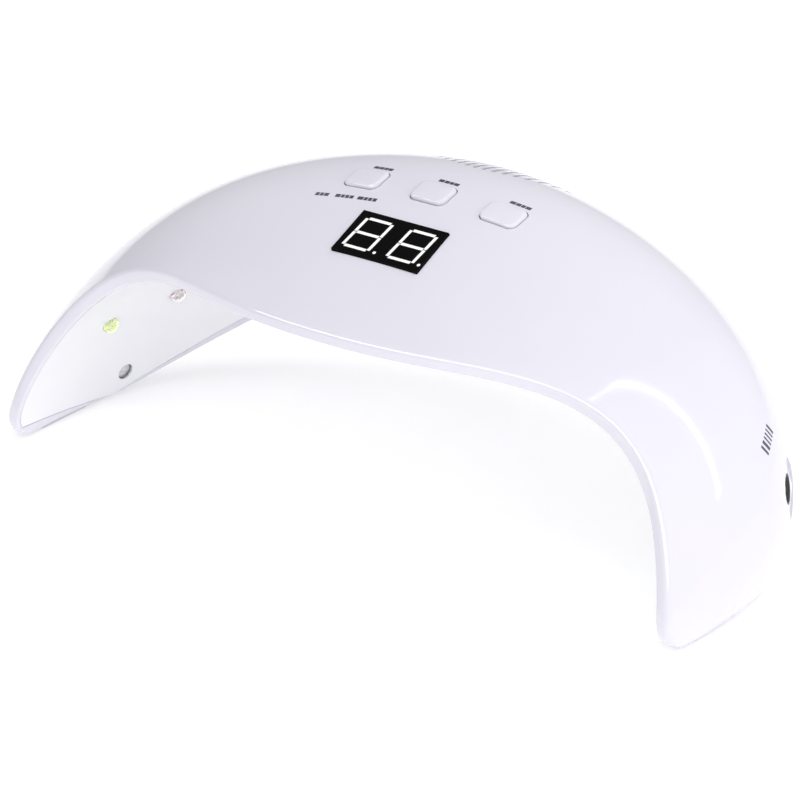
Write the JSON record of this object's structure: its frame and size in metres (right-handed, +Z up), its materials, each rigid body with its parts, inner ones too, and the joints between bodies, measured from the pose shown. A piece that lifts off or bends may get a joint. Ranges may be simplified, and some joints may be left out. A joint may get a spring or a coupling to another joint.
{
  "type": "uv curing lamp",
  "caption": "Bow-shaped two-legged curing lamp with a sloped display, push buttons, rear vents and light beads under its glossy arch.",
  "frame": {"origin": "on the table, under the middle of the lamp's box", "axes": "+X to the lamp's right along the arch, +Y to the rear lip, +Z up; the user is at -Y"},
  "size_m": [0.2072, 0.1058, 0.0774],
  "materials": {
    "gloss_white": "high gloss, moulded",
    "liner_white": "semi-gloss reflecting liner",
    "display_black": "smooth black face",
    "display_white": "milky diffuser",
    "black_plastic": "moulded, fine texture",
    "chip_black": "epoxy",
    "board_green": "solder mask",
    "steel": "plated",
    "can_aluminium": "satin",
    "ferrite": "pressed ferrite",
    "ivory_plastic": "moulded",
    "phosphor": "phosphor under silicone",
    "lens_clear": "clear moulded dome",
    "wire_red": "insulation",
    "wire_black": "insulation",
    "wire_white": "insulation",
    "foot_rubber": "translucent silicone"
  },
  "bodies": {
    "lamp": {"top_cover": "gloss_white", "inner_cover": "liner_white", "display_body": "display_black", "display_digits": "display_white", "tact_switches": "steel", "control_board": "board_green", "board_screws": "steel", "microcontroller": "chip_black", "driver_chips": "chip_black", "resistors": "chip_black", "diodes": "chip_black", "capacitors": "can_aluminium", "inductor": "ferrite", "board_connectors": "ivory_plastic", "led_board_left": "can_aluminium", "led_board_crown": "can_aluminium", "led_board_right": "can_aluminium", "led_packages": "phosphor", "led_lenses": "lens_clear", "sensor_emitter": "lens_clear", "sensor_receiver": "black_plastic", "sensor_leads": "steel", "dc_jack": "black_plastic", "jack_pin": "steel", "jack_tags": "steel", "power_wire_red": "wire_red", "power_wire_black": "wire_black", "led_wires_left": "wire_white", "led_wires_right": "wire_white", "feed_wires": "wire_white", "cover_screws": "steel", "rubber_feet": "foot_rubber"},
    "key_left": {"button_left": "gloss_white", "plunger_left": "black_plastic"},
    "key_middle": {"button_middle": "gloss_white", "plunger_middle": "black_plastic"},
    "key_right": {"button_right": "gloss_white", "plunger_right": "black_plastic"}
  },
  "joints": [
    {"name": "press_left", "type": "slide", "parent": "lamp", "child": "key_left", "axis": [0, 0.3859, -0.9225], "range_m": [0, 0.00035], "stiffness_N_per_m": 800, "springref_m": -0.0006},
    {"name": "press_middle", "type": "slide", "parent": "lamp", "child": "key_middle", "axis": [0, 0.3859, -0.9225], "range_m": [0, 0.00035], "stiffness_N_per_m": 800, "springref_m": -0.0006},
    {"name": "press_right", "type": "slide", "parent": "lamp", "child": "key_right", "axis": [0, 0.3859, -0.9225], "range_m": [0, 0.00035], "stiffness_N_per_m": 800, "springref_m": -0.0006}
  ]
}
